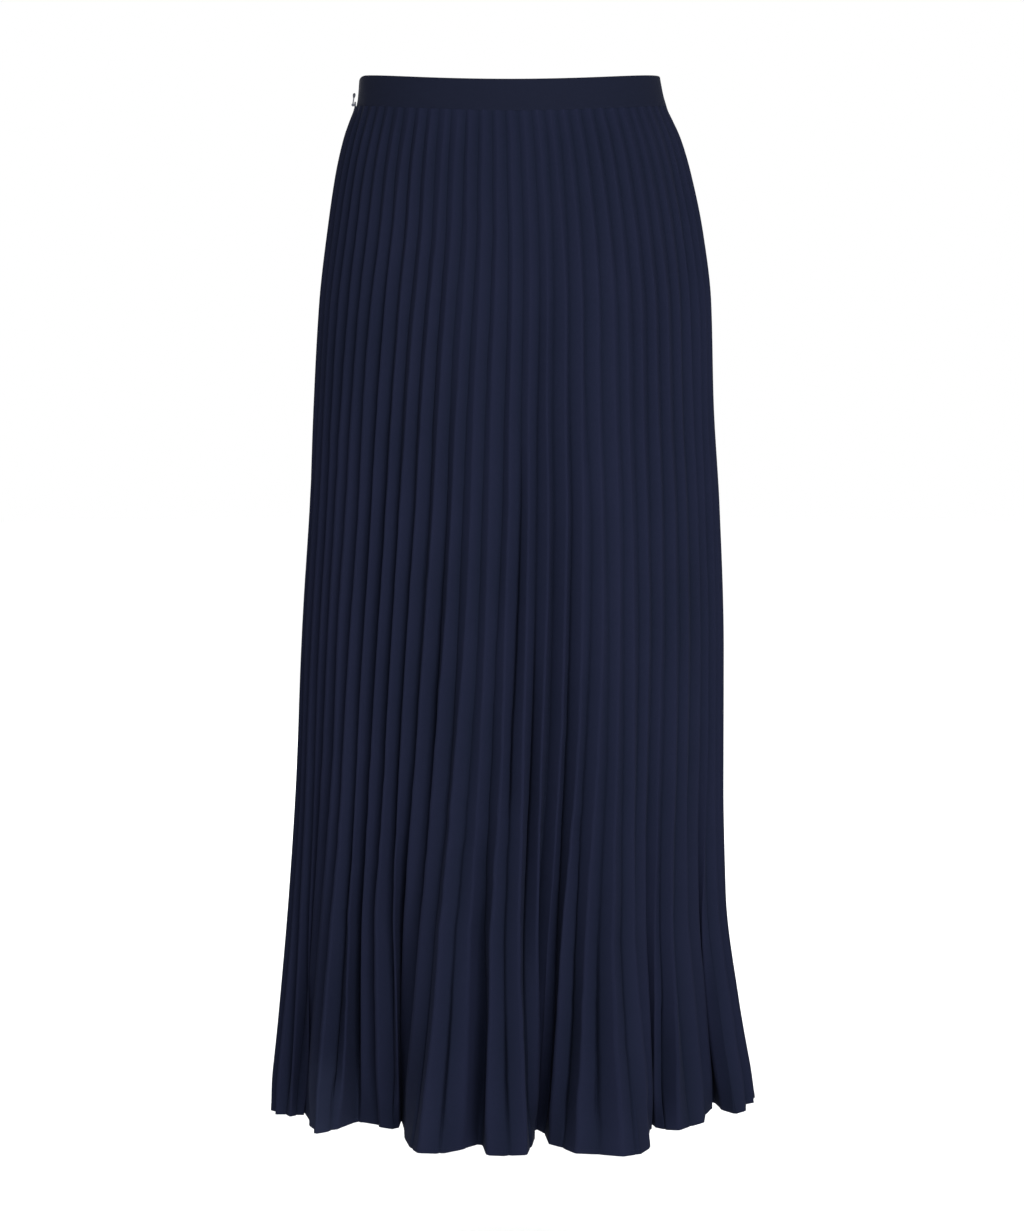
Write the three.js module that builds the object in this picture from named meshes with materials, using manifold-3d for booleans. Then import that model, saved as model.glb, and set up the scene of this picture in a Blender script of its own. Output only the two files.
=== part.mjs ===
// A long pleated skirt in the hollow form that it has when worn, closed by a concealed zip in its left seam.
// Millimetres. X runs to the right of the shown side, -Y towards whoever looks at it, +Z up.
// The origin is the middle of the waist opening, at half the height of the waistband.
import * as THREE from "three";
import Module from "manifold-3d";
import { mergeVertices } from "three/addons/utils/BufferGeometryUtils.js";

// Cloth and seams
const clothWall = 1.2;
const seamGap = 0.3;
const miterLeast = 0.5;

// Waistband
const bandHeight = 27;
const bandWall = 2;
const bandSegments = 72;
const bandSplit = 0.6;
const waistDip = 8.5; // front and back centres of the waist lie lower than its sides
const zipDip = 5; // the band's top edge curves down to the zip
const zipDipReach = 30;

// Pleated panels
const panelLength = 897;
const pleatsPerPanel = 33;
const facesPerPanel = 2 * pleatsPerPanel;
const sectionCount = 17;
const rowEasing = 0.4; // rows stand closer together at the waist and the hem
const faceWidthTop = 6.4;
const faceWidthHem = 22;
const pleatDepthLeast = 2;
const pleatDepthMost = 6.5;
const foldStart = 300;
const foldGrowth = 3.2;
const ringSamples = 360;
const foldSamples = 900;

// Zip in the left seam
const zipGap = 2.2;
const zipLastRow = 5;
const coilWidth = 1.6;
const coilWall = 1.2;
const coilTopDrop = 0.6;
const sliderWidth = 4.4;
const sliderHeight = 5.4;
const sliderWall = 1.2;
const sliderCornerRadius = 0.9;
const earGap = 2.2;
const earWall = 0.8;
const earRadius = 1.15;
const pinRadius = 0.4;
const pivotStandOff = 1.5;
const pivotHeight = -10.8;
const eyeOuterRadius = 1.2;
const eyeInnerRadius = 0.7;
const eyeWidth = 1.6;
const pullLength = 10.5;
const neckWall = 1;
const neckWidth = 1.4;
const dropRadius = 1.6;
const dropLength = 5;
const dropTaper = 0.25; // the drop is this much slimmer towards the neck than at its middle
const pullLean = 8; // degrees that the standing pull leans towards the band
const roundSegments = 20;
const cornerSegments = 6;
const mergeWithin = 1e-4;

// Outer sections of the waistband: height over the origin, half widths to each side, and half depth.
const bandSections = [
  { height: 13.5, left: 133.5, right: 131, depth: 96 },
  { height: 5, left: 134, right: 132.5, depth: 96.5 },
  { height: -5, left: 134.8, right: 134.5, depth: 97.4 },
  { height: -13.5, left: 136.2, right: 137, depth: 98.4 },
];

// Smooth sections of the cloth: drop below the waistband, half widths to the left and right, and depths to
// the back and front.
const clothSections = [
  { drop: 0, left: 136.5, right: 136, back: 97.4, front: 97.4 },
  { drop: 30, left: 146, right: 149, back: 102, front: 100 },
  { drop: 60, left: 152.5, right: 157.5, back: 107, front: 102 },
  { drop: 110, left: 159.5, right: 167.5, back: 114, front: 105 },
  { drop: 170, left: 166, right: 174.5, back: 121, front: 108 },
  { drop: 260, left: 171, right: 177, back: 127, front: 112 },
  { drop: 350, left: 175, right: 182, back: 131, front: 116 },
  { drop: 480, left: 182, right: 186, back: 134, front: 121 },
  { drop: 600, left: 187, right: 186, back: 136, front: 126 },
  { drop: 700, left: 193.5, right: 189, back: 138, front: 130 },
  { drop: 800, left: 203, right: 203, back: 140, front: 133 },
  { drop: 897, left: 214, right: 222, back: 142, front: 136 },
];

// Hem of the back panel, from the left seam to the right: the crease that passes each place, how far it lies
// to the right and outward, and the share of the full pleat depth there.
const backHem = [
  { crease: 0, x: -214, out: 0, pleat: 0.8 },
  { crease: 4, x: -211, out: 34, pleat: 1 },
  { crease: 7, x: -193, out: 42, pleat: 1 },
  { crease: 9, x: -186, out: 30, pleat: 0.8 },
  { crease: 11, x: -178, out: 72, pleat: 0.8 },
  { crease: 13, x: -168, out: 98, pleat: 1 },
  { crease: 16, x: -134, out: 62, pleat: 1 },
  { crease: 19, x: -104, out: 85, pleat: 0.5 },
  { crease: 21, x: -98, out: 56, pleat: 0.3 },
  { crease: 26, x: -84, out: 150, pleat: 0.7 },
  { crease: 28, x: -60, out: 160, pleat: 1 },
  { crease: 30, x: -30, out: 133, pleat: 1 },
  { crease: 32, x: -14, out: 166, pleat: 1 },
  { crease: 34, x: 12, out: 160, pleat: 1 },
  { crease: 38, x: 23, out: 84, pleat: 0.5 },
  { crease: 41, x: 38, out: 134, pleat: 1 },
  { crease: 43, x: 60, out: 158, pleat: 1 },
  { crease: 46, x: 112, out: 161, pleat: 1 },
  { crease: 50, x: 125, out: 71, pleat: 0.6 },
  { crease: 52, x: 137, out: 88, pleat: 1 },
  { crease: 54, x: 162, out: 76, pleat: 1 },
  { crease: 56, x: 176, out: 40, pleat: 1 },
  { crease: 58, x: 184, out: 1, pleat: 0.8 },
  { crease: 60, x: 202, out: 38, pleat: 1 },
  { crease: 62, x: 216, out: 6, pleat: 0.8 },
  { crease: 64, x: 222, out: -8, pleat: 0.8 },
  { crease: 66, x: 221, out: -30, pleat: 0.8 },
];

// Hem of the front panel, in the same terms.
const frontHem = [
  { crease: 0, x: -214, out: 0, pleat: 0.8 },
  { crease: 4, x: -208, out: 38, pleat: 1 },
  { crease: 8, x: -180, out: 66, pleat: 1 },
  { crease: 10, x: -166, out: 50, pleat: 0.8 },
  { crease: 15, x: -138, out: 112, pleat: 1 },
  { crease: 18, x: -104, out: 122, pleat: 1 },
  { crease: 21, x: -86, out: 84, pleat: 0.7 },
  { crease: 25, x: -70, out: 140, pleat: 1 },
  { crease: 28, x: -34, out: 152, pleat: 1 },
  { crease: 31, x: -14, out: 108, pleat: 0.7 },
  { crease: 35, x: 6, out: 150, pleat: 1 },
  { crease: 39, x: 52, out: 146, pleat: 1 },
  { crease: 42, x: 66, out: 98, pleat: 0.7 },
  { crease: 46, x: 88, out: 136, pleat: 1 },
  { crease: 49, x: 122, out: 126, pleat: 1 },
  { crease: 52, x: 138, out: 82, pleat: 0.7 },
  { crease: 55, x: 160, out: 96, pleat: 1 },
  { crease: 58, x: 184, out: 72, pleat: 1 },
  { crease: 60, x: 190, out: 46, pleat: 0.7 },
  { crease: 63, x: 212, out: 50, pleat: 1 },
  { crease: 66, x: 221, out: 30, pleat: 0.8 },
];

const navyCloth = new THREE.MeshStandardMaterial({ color: 0x20253a, roughness: 0.85, metalness: 0 });
const navyBand = new THREE.MeshStandardMaterial({ color: 0x232839, roughness: 0.8, metalness: 0 });
const navyCoil = new THREE.MeshStandardMaterial({ color: 0x171b2b, roughness: 0.55, metalness: 0 });
const navyMetal = new THREE.MeshStandardMaterial({ color: 0x1c2136, roughness: 0.4, metalness: 0.7 });

// Value of a table's column at a key, on a cubic that keeps between neighbouring rows.
function tableCurve(rows, key, column) {
  const at = rows.map((row) => row[key]);
  const value = rows.map((row) => row[column]);
  const last = rows.length - 1;
  const secant = (k) => (value[k + 1] - value[k]) / (at[k + 1] - at[k]);
  const slopes = value.map((_, k) => {
    if (k === 0) return secant(0);
    if (k === last) return secant(last - 1);
    const before = secant(k - 1);
    const after = secant(k);
    return before * after <= 0 ? 0 : (2 * before * after) / (before + after);
  });
  return (place) => {
    let k = 0;
    while (k < last - 1 && place > at[k + 1]) k += 1;
    const span = at[k + 1] - at[k];
    const t = (place - at[k]) / span;
    const rise = t * t * (3 - 2 * t);
    const leave = t * (1 - t) * (1 - t);
    const arrive = t * t * (t - 1);
    return value[k] * (1 - rise) + value[k + 1] * rise + span * (slopes[k] * leave + slopes[k + 1] * arrive);
  };
}

// Points of a half ring from the left seam to the right one, equally far apart along it.
function halfRing(left, right, depth, count) {
  const points = [];
  const travelled = [0];
  for (let i = 0; i <= ringSamples; i += 1) {
    const angle = (Math.PI * i) / ringSamples;
    const width = angle < Math.PI / 2 ? left : right;
    points.push(new THREE.Vector2(-width * Math.cos(angle), depth * Math.sin(angle)));
    if (i > 0) travelled.push(travelled[i - 1] + points[i].distanceTo(points[i - 1]));
  }
  const total = travelled[ringSamples];
  const even = [];
  let k = 0;
  for (let i = 0; i <= count; i += 1) {
    const goal = (total * i) / count;
    while (k < ringSamples - 1 && travelled[k + 1] < goal) k += 1;
    const t = (goal - travelled[k]) / (travelled[k + 1] - travelled[k]);
    even.push(points[k].clone().lerp(points[k + 1], t));
  }
  return even;
}

// Where each crease meets the hem, on a smooth curve through the rows of a hem table.
function hemPlaces(rows) {
  const curve = new THREE.CatmullRomCurve3(
    rows.map((row) => new THREE.Vector3(row.x, row.out, row.crease)),
    false,
    "centripetal",
  );
  const samples = curve.getPoints(foldSamples);
  const places = [];
  let k = 0;
  for (let crease = 0; crease <= facesPerPanel; crease += 1) {
    while (k < foldSamples - 1 && samples[k + 1].z < crease) k += 1;
    const t = (crease - samples[k].z) / (samples[k + 1].z - samples[k].z);
    const place = samples[k].clone().lerp(samples[k + 1], t);
    places.push(new THREE.Vector2(place.x, place.y));
  }
  return places;
}

// Drops of the panel's rows below the waistband.
function rowDrop(row) {
  const share = row / sectionCount;
  return panelLength * (share - (rowEasing * Math.sin(2 * Math.PI * share)) / (2 * Math.PI));
}

// Offsets of a run of 2D points to one side of it, mitred at each point. The two end points move along X
// only, so that the ends stay flat where a seam closes.
function wallOffsets(points, half, turn) {
  const last = points.length - 1;
  const normals = [];
  for (let i = 0; i < last; i += 1) {
    const way = points[i + 1].clone().sub(points[i]).normalize();
    normals.push(new THREE.Vector2(way.y * turn, -way.x * turn));
  }
  return points.map((_, i) => {
    if (i === 0 || i === last) {
      const normal = normals[i === 0 ? 0 : last - 1];
      const size = half / Math.max(Math.abs(normal.x), miterLeast);
      return new THREE.Vector2(Math.sign(points[i].x) * size, 0);
    }
    const middle = normals[i - 1].clone().add(normals[i]).normalize();
    return middle.multiplyScalar(half / Math.max(middle.dot(normals[i]), miterLeast));
  });
}

// A closed wall from two grids of points, one row for each height from the top down. The grids run to the
// right as seen from outside, or to the left where mirrored.
function closedWall(outer, inner, mirrored) {
  const rows = outer.length;
  const columns = outer[0].length;
  const positions = [];
  [outer, inner].forEach((grid) => grid.forEach((row) => row.forEach((p) => positions.push(p.x, p.y, p.z))));
  const faces = [];
  const at = (layer, row, column) => (layer * rows + row) * columns + column;
  const quad = (a, b, c, d) => {
    if (mirrored) faces.push(a, c, b, a, d, c);
    else faces.push(a, b, c, a, c, d);
  };
  for (let r = 0; r < rows - 1; r += 1) {
    for (let c = 0; c < columns - 1; c += 1) {
      quad(at(0, r, c), at(0, r + 1, c), at(0, r + 1, c + 1), at(0, r, c + 1));
      quad(at(1, r, c), at(1, r, c + 1), at(1, r + 1, c + 1), at(1, r + 1, c));
    }
    const end = columns - 1;
    quad(at(1, r, 0), at(1, r + 1, 0), at(0, r + 1, 0), at(0, r, 0));
    quad(at(0, r, end), at(0, r + 1, end), at(1, r + 1, end), at(1, r, end));
  }
  for (let c = 0; c < columns - 1; c += 1) {
    const base = rows - 1;
    quad(at(0, 0, c), at(0, 0, c + 1), at(1, 0, c + 1), at(1, 0, c));
    quad(at(0, base, c), at(1, base, c), at(1, base, c + 1), at(0, base, c + 1));
  }
  const geometry = new THREE.BufferGeometry();
  geometry.setAttribute("position", new THREE.Float32BufferAttribute(positions, 3));
  geometry.setIndex(faces);
  geometry.computeVertexNormals();
  return geometry;
}

const sectionAt = {
  left: tableCurve(clothSections, "drop", "left"),
  right: tableCurve(clothSections, "drop", "right"),
  back: tableCurve(clothSections, "drop", "back"),
  front: tableCurve(clothSections, "drop", "front"),
};

// The gap between the two panels at their left seam, wide along the zip.
function leftSeamGap(row) {
  return row <= zipLastRow ? zipGap : seamGap;
}

// A smooth ring of the cloth at one drop, from the left seam to the right one.
function clothRing(drop, side) {
  const depth = side < 0 ? sectionAt.back(drop) : sectionAt.front(drop);
  const ring = halfRing(sectionAt.left(drop), sectionAt.right(drop), depth, facesPerPanel);
  return { ring, depth };
}

// Rows of a panel: the large folds grow out of the smooth ring towards the hem, and the pleats zigzag about
// them. Each row has the middle line of the wall and the height of each of its creases.
function panelRows(side, hemRows) {
  const hem = hemPlaces(hemRows);
  const hemRing = clothRing(panelLength, side).ring;
  const pleatShare = tableCurve(hemRows, "crease", "pleat");
  const rows = [];
  for (let row = 0; row <= sectionCount; row += 1) {
    const drop = rowDrop(row);
    const { ring, depth } = clothRing(drop, side);
    const growth = drop > foldStart ? ((drop - foldStart) / (panelLength - foldStart)) ** foldGrowth : 0;
    const faceWidth = faceWidthTop + ((faceWidthHem - faceWidthTop) * drop) / panelLength;
    const base = ring.map((point, i) => {
      const place = point.clone().addScaledVector(hem[i].clone().sub(hemRing[i]), growth);
      return new THREE.Vector2(place.x, place.y * side);
    });
    const points = base.map((point, i) => {
      const before = base[Math.max(i - 1, 0)];
      const after = base[Math.min(i + 1, facesPerPanel)];
      const atEnd = i === 0 || i === facesPerPanel;
      const spacing = after.distanceTo(before) / (atEnd ? 1 : 2);
      const slack = Math.sqrt(Math.max(faceWidth ** 2 - spacing ** 2, pleatDepthLeast ** 2));
      const pleatDepth = Math.min(slack, pleatDepthMost) * (1 + growth * (pleatShare(i) - 1));
      const way = after.clone().sub(before).normalize();
      const outward = new THREE.Vector2(-way.y * side, way.x * side);
      if (atEnd) outward.set(Math.sign(point.x), 0);
      return point.clone().addScaledVector(outward, (i % 2 === 0 ? -pleatDepth : pleatDepth) / 2);
    });
    points[0].y += (side * leftSeamGap(row)) / 2;
    points[facesPerPanel].y += (side * seamGap) / 2;
    const fade = 1 - drop / panelLength;
    const heights = ring.map((p) => -bandHeight / 2 - seamGap - drop - waistDip * fade * (p.y / depth) ** 2);
    rows.push({ points, heights });
  }
  return rows;
}

// The two faces of a wall about its middle line.
function wallFaces(points, heights, wall, turn) {
  const offsets = wallOffsets(points, wall / 2, turn);
  const face = (way) => points.map((p, i) => {
    const offset = offsets[i].clone().multiplyScalar(way);
    return new THREE.Vector3(p.x + offset.x, p.y + offset.y, heights[i]);
  });
  return { outer: face(1), inner: face(-1) };
}

// A named mesh of a wall, from the faces of each of its rows.
function wallMesh(name, faces, mirrored, material) {
  const geometry = closedWall(faces.map((row) => row.outer), faces.map((row) => row.inner), mirrored);
  const mesh = new THREE.Mesh(geometry, material);
  mesh.name = name;
  return mesh;
}

// One pleated panel: the back one on the side of -Y, the front one on the side of +Y.
function pleatedPanel(name, side, rows) {
  const faces = rows.map(({ points, heights }) => wallFaces(points, heights, clothWall, -side));
  return wallMesh(name, faces, side > 0, navyCloth);
}

// The waistband, a ring that opens at the zip.
function waistband() {
  const half = bandSegments / 2;
  const faces = bandSections.map(({ height, left, right, depth }) => {
    const middleDepth = depth - bandWall / 2;
    const back = halfRing(left - bandWall / 2, right - bandWall / 2, middleDepth, half);
    const points = [
      ...back.map((p) => new THREE.Vector2(p.x, -p.y)),
      ...back.slice(0, half).reverse(),
    ];
    points[0].y = -bandSplit / 2;
    points[bandSegments].y = bandSplit / 2;
    const rise = (height + bandHeight / 2) / bandHeight;
    const heights = points.map((p) => {
      const nearZip = p.x < 0 ? Math.max(1 - Math.abs(p.y) / zipDipReach, 0) : 0;
      return height - waistDip * (p.y / middleDepth) ** 2 - zipDip * rise * nearZip ** 2;
    });
    return wallFaces(points, heights, bandWall, 1);
  });
  return wallMesh("waistband", faces, false, navyBand);
}

// The closed run of the zip's coil, between the panels' edges in the left seam.
function zipCoil(rows) {
  const faces = rows.slice(0, zipLastRow + 1).map(({ points, heights }, row) => {
    const height = heights[0] - (row === 0 ? coilTopDrop : 0);
    const strip = (x) => [coilWidth / 2, -coilWidth / 2].map((y) => new THREE.Vector3(x, y, height));
    return { outer: strip(points[0].x - coilWall / 2), inner: strip(points[0].x + coilWall / 2) };
  });
  return wallMesh("zip_coil", faces, false, navyCoil);
}

const manifold = await Module();
manifold.setup();

// A geometry as a solid that can be joined to others.
function solid(geometry) {
  const bare = geometry.index ? geometry.toNonIndexed() : geometry.clone();
  bare.deleteAttribute("normal");
  bare.deleteAttribute("uv");
  const merged = mergeVertices(bare, mergeWithin);
  return new manifold.Manifold(
    new manifold.Mesh({
      numProp: 3,
      vertProperties: merged.attributes.position.array,
      triVerts: new Uint32Array(merged.index.array),
    }),
  );
}

// Several geometries joined into one.
function joined(geometries) {
  const whole = geometries.map(solid).reduce((a, b) => a.add(b));
  const mesh = whole.getMesh();
  const geometry = new THREE.BufferGeometry();
  geometry.setAttribute("position", new THREE.BufferAttribute(mesh.vertProperties, 3));
  geometry.setIndex(new THREE.BufferAttribute(mesh.triVerts, 1));
  return geometry;
}

// A flat outline in the plane across Y, extruded along Y about y = 0 or moved aside.
function slab(shape, width, aside) {
  const settings = { depth: width, bevelEnabled: false, curveSegments: roundSegments / 2 };
  const geometry = new THREE.ExtrudeGeometry(shape, settings);
  geometry.translate(0, 0, -width / 2);
  geometry.rotateX(Math.PI / 2);
  geometry.translate(0, aside, 0);
  return geometry;
}

const bandFoot = bandSections[bandSections.length - 1];
const pivotX = -(bandFoot.left + seamGap + sliderWall + pivotStandOff);
const pivot = new THREE.Vector3(pivotX, 0, pivotHeight);

// The slider: a small plate over the foot of the band's opening, with two ears and the pin between them.
function zipSlider() {
  const w = sliderWidth / 2 - sliderCornerRadius;
  const h = sliderHeight / 2 - sliderCornerRadius;
  const outline = new THREE.Shape();
  outline.absarc(w, h, sliderCornerRadius, 0, Math.PI / 2);
  outline.absarc(-w, h, sliderCornerRadius, Math.PI / 2, Math.PI);
  outline.absarc(-w, -h, sliderCornerRadius, Math.PI, 1.5 * Math.PI);
  outline.absarc(w, -h, sliderCornerRadius, 1.5 * Math.PI, 2 * Math.PI);
  const settings = { depth: sliderWall, bevelEnabled: false, curveSegments: cornerSegments };
  const plate = new THREE.ExtrudeGeometry(outline, settings);
  plate.rotateX(Math.PI / 2);
  plate.rotateZ(Math.PI / 2);
  plate.translate(pivotStandOff, 0, 0);
  const ear = new THREE.Shape();
  ear.absarc(0, 0, earRadius, Math.PI / 2, 1.5 * Math.PI);
  ear.lineTo(pivotStandOff + sliderWall / 2, -earRadius);
  ear.lineTo(pivotStandOff + sliderWall / 2, earRadius);
  const earPlace = (earGap + earWall) / 2;
  const pin = new THREE.CylinderGeometry(pinRadius, pinRadius, earGap + earWall, roundSegments);
  const geometry = joined([plate, slab(ear, earWall, earPlace), slab(ear, earWall, -earPlace), pin]);
  geometry.translate(pivot.x, pivot.y, pivot.z);
  const mesh = new THREE.Mesh(geometry, navyMetal);
  mesh.name = "zip_slider";
  return mesh;
}

// The pull: an eye round the pin, a flat neck and a drop-shaped end, standing up beside the band.
function zipPull() {
  const ring = new THREE.Shape();
  ring.absarc(0, 0, eyeOuterRadius, 0, 2 * Math.PI);
  ring.holes.push(new THREE.Path().absarc(0, 0, eyeInnerRadius, 0, 2 * Math.PI, true));
  const eye = slab(ring, eyeWidth, 0);
  const neckStart = (eyeInnerRadius + eyeOuterRadius) / 2;
  const neckLength = pullLength - dropLength / 2 - neckStart;
  const neck = new THREE.BoxGeometry(neckWall, neckWidth, neckLength);
  neck.translate(0, 0, neckStart + neckLength / 2);
  const half = dropLength / 2;
  const outline = [];
  for (let i = 0; i <= roundSegments; i += 1) {
    const angle = -Math.PI / 2 + (Math.PI * i) / roundSegments;
    const taper = 1 - dropTaper + dropTaper * Math.sin(angle);
    const radius = Math.max(dropRadius * Math.cos(angle) * taper, 0);
    outline.push(new THREE.Vector2(radius, half * Math.sin(angle)));
  }
  outline[0].x = 0;
  outline[roundSegments].x = 0;
  const drop = new THREE.LatheGeometry(outline, roundSegments);
  drop.rotateX(Math.PI / 2);
  drop.translate(0, 0, pullLength - half);
  const geometry = joined([eye, neck, drop]);
  geometry.rotateY(THREE.MathUtils.degToRad(pullLean));
  geometry.translate(pivot.x, pivot.y, pivot.z);
  const mesh = new THREE.Mesh(geometry, navyMetal);
  mesh.name = "zip_pull";
  return mesh;
}

const backRows = panelRows(-1, backHem);
const frontRows = panelRows(1, frontHem);
const skirt = new THREE.Group();
skirt.add(
  pleatedPanel("skirt_back", -1, backRows),
  pleatedPanel("skirt_front", 1, frontRows),
  waistband(),
  zipCoil(backRows),
  zipSlider(),
  zipPull(),
);

export default skirt;
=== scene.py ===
import math
import bpy
import numpy as np
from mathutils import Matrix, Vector


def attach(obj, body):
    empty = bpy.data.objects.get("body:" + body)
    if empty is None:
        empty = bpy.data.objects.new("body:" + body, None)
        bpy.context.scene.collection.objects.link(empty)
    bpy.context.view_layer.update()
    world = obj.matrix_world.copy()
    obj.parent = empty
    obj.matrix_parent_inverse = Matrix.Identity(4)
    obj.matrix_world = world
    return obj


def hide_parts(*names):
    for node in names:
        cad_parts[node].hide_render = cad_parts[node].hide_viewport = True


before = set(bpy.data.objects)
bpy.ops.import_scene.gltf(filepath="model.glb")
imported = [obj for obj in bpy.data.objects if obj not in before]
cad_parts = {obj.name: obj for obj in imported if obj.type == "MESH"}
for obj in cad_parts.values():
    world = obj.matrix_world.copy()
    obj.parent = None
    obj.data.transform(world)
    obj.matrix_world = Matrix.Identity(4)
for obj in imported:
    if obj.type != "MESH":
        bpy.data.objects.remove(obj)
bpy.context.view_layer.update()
scene = bpy.context.scene
print("Frame loaded with", len(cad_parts), "nodes")

# Camera, at the height and distance from which the skirt was photographed
shot = {
    "place": (0.0009, -2.6, -0.1798),
    "aim": (0.0009, 0, -0.4628),
    "lens": 85.27,
    "sensor": 36,
}


def placeCamera():
    data = bpy.data.cameras.new("studio_camera")
    data.lens = shot["lens"]
    data.sensor_width = shot["sensor"]
    camera = bpy.data.objects.new("studio_camera", data)
    camera.location = shot["place"]
    look = Vector(shot["aim"]) - Vector(shot["place"])
    camera.rotation_euler = look.to_track_quat("-Z", "Y").to_euler()
    scene.collection.objects.link(camera)
    scene.camera = camera


placeCamera()

# White studio: soft light all round, a large box in front, a little to the right, and another behind, to the left
studio = {
    "background": (1, 1, 1),
    "backgroundStrength": 1,
    "floorColour": (0.93, 0.93, 0.93),
    "floorGlow": 0.09,
    "floorHeight": -1.05,
    "floorRadius": 9,
    "lights": [
        {"name": "key_box", "place": (0.85, -3.1, -0.15), "size": (2.0, 2.0), "power": 156},
        {"name": "back_box", "place": (-0.9, 2.9, 0.6), "size": (1.4, 1.9), "power": 50},
    ],
    "aim": (0, 0, -0.45),
}


def linkInput(material, source, output, target, socket):
    material.node_tree.links.new(source.outputs[output], target.inputs[socket])


def lightStudio():
    world = bpy.data.worlds.new("white_studio")
    world.use_nodes = True
    backdrop = world.node_tree.nodes["Background"]
    backdrop.inputs["Color"].default_value = (*studio["background"], 1)
    backdrop.inputs["Strength"].default_value = studio["backgroundStrength"]
    scene.world = world
    scene.view_settings.view_transform = "Standard"
    for box in studio["lights"]:
        data = bpy.data.lights.new(box["name"], "AREA")
        data.shape = "RECTANGLE"
        data.size, data.size_y = box["size"]
        data.energy = box["power"]
        light = bpy.data.objects.new(box["name"], data)
        light.location = box["place"]
        look = Vector(studio["aim"]) - Vector(box["place"])
        light.rotation_euler = look.to_track_quat("-Z", "Y").to_euler()
        scene.collection.objects.link(light)
    bpy.ops.mesh.primitive_circle_add(vertices=96, radius=studio["floorRadius"], fill_type="NGON")
    floor = bpy.context.object
    floor.name = "studio_floor"
    floor.location.z = studio["floorHeight"]
    paint = bpy.data.materials.new("floor_paint")
    paint.use_nodes = True
    shader = paint.node_tree.nodes["Principled BSDF"]
    shader.inputs["Base Color"].default_value = (*studio["floorColour"], 1)
    shader.inputs["Roughness"].default_value = 1
    shader.inputs["Emission Color"].default_value = (*studio["background"], 1)
    shader.inputs["Emission Strength"].default_value = studio["floorGlow"]
    floor.data.materials.append(paint)


lightStudio()
print("Camera, lights and floor placed")

# Navy crepe, with painted shade and highlight on its pleats and painted light through it near the hem, and the
# finishes of the zip
crepe = {
    # The deep tint is painted shade in the valleys of the pleats as well as random darker tone; the pale tint is a
    # painted highlight on their ridges as well as random paler tone
    "deep": (0.0031, 0.0046, 0.0098),
    "plain": (0.0051, 0.0065, 0.0151),
    "paleToneAndPaintedSheen": (0.0069, 0.0082, 0.0193),
    "paintedBacklight": (0.0106, 0.0134, 0.0266),  # painted light: near the hem the tint is painted paler where light comes through the single cloth
    "stops": (0.1, 0.5, 0.9),  # where the tint is deep, plain and pale; the deep end holds painted shade in the valleys, the pale end a painted highlight on the ridges
    "patch": 9,
    "patchDetail": 3,
    "patchTint": 0.4,  # how much the patches, the painted shade and highlight of valleys and ridges, and the grain sway the tint
    "paintedRidgeShading": 0.4,
    "grain": 1900,
    "grainTint": 0.45,
    "grainHeight": 0.00018,
    "slub": 260,
    "slubHeight": 0.00012,
    "threadDetail": 2,
    "roughness": 0.85,
    "sheen": 0.007,
    "sheenRoughness": 0.45,
    "sheenColour": (0.5, 0.6, 1),
    "specular": 0.04,
    "ior": 1.3,
}
# The band's own tints; its pale tint paints a sheen on the band's rounded edges
bandCloth = {
    **crepe,
    "deep": (0.0042, 0.0053, 0.0112),
    "plain": (0.0049, 0.0061, 0.0129),
    "paleToneAndPaintedSheen": (0.0056, 0.0068, 0.0146),
    "grainHeight": 0.00010,
    "roughness": 0.8,
}


def newMaterial(name):
    material = bpy.data.materials.new(name)
    material.use_nodes = True
    return material, material.node_tree.nodes["Principled BSDF"]


def colourRamp(material, stops, colours):
    ramp = material.node_tree.nodes.new("ShaderNodeValToRGB")
    for stop in stops[1:-1]:
        ramp.color_ramp.elements.new(stop)
    for element, stop, colour in zip(ramp.color_ramp.elements, stops, colours):
        element.position = stop
        element.color = (*colour, 1)
    return ramp


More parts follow.
